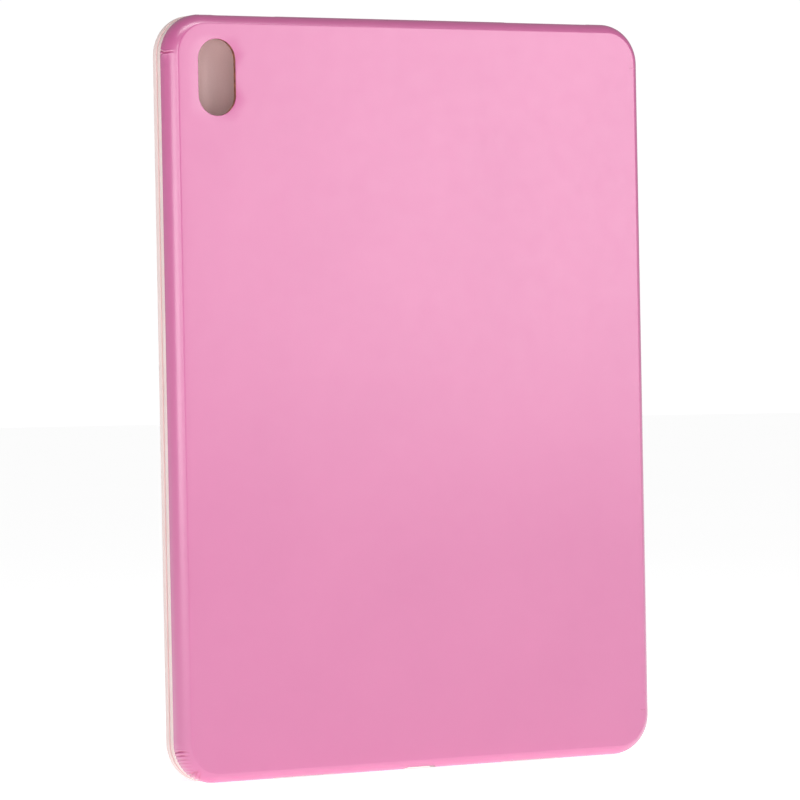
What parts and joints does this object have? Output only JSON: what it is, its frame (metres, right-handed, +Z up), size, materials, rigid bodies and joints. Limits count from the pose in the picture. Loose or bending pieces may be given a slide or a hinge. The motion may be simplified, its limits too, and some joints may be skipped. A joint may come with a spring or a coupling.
{
  "type": "folio tablet case",
  "caption": "Folio case for an 11-inch-class tablet: leather-backed soft tray with a pill-shaped camera window, a folding spine and a front cover that folds into a stand.",
  "frame": {"origin": "middle of the bottom edge of the closed case, on the surface that it stands on", "axes": "+Z up along the case's height, +Y from the leather back to the front cover, +X to the spine"},
  "size_m": [0.1828, 0.012, 0.2511],
  "materials": {
    "leather": "smooth, soft gloss",
    "tray": "satin, slightly milky",
    "lining": "short nap",
    "board": "matte",
    "magnet": "plated",
    "steel": "brushed"
  },
  "bodies": {
    "shell": {"tray_floor": "tray", "tray_walls": "tray", "tray_lip": "tray", "back_leather": "leather", "ridge_leather": "leather", "side_leather": "leather", "back_hinge_leather": "leather"},
    "spine": {"spine_leather": "leather", "spine_board": "board", "spine_lining": "lining", "cover_hinge_leather": "leather", "cover_hinge_lining": "lining"},
    "panel_1": {"panel_1_leather": "leather", "panel_1_board": "board", "panel_1_lining": "lining", "stand_plates": "steel", "fold_1_leather": "leather", "fold_1_lining": "lining"},
    "panel_2": {"panel_2_leather": "leather", "panel_2_board": "board", "panel_2_lining": "lining", "fold_2_leather": "leather", "fold_2_lining": "lining"},
    "panel_3": {"panel_3_leather": "leather", "panel_3_board": "board", "panel_3_lining": "lining", "closure_magnets": "magnet", "sleep_magnet": "magnet"}
  },
  "joints": [
    {"name": "spine_fold", "type": "hinge", "parent": "shell", "child": "spine", "pos_m": [0.09057, -0.00514, 0.12555], "axis": [0, 0, -1], "range_deg": [0, 90]},
    {"name": "cover_fold", "type": "hinge", "parent": "spine", "child": "panel_1", "pos_m": [0.09143, 0.006, 0.12555], "axis": [0, 0, -1], "range_deg": [0, 180]},
    {"name": "fold_1", "type": "hinge", "parent": "panel_1", "child": "panel_2", "pos_m": [0.02643, 0.006, 0.12555], "axis": [0, 0, -1], "range_deg": [0, 118]},
    {"name": "fold_2", "type": "hinge", "parent": "panel_2", "child": "panel_3", "pos_m": [-0.03257, 0.006, 0.12555], "axis": [0, 0, -1], "range_deg": [0, 118]}
  ]
}
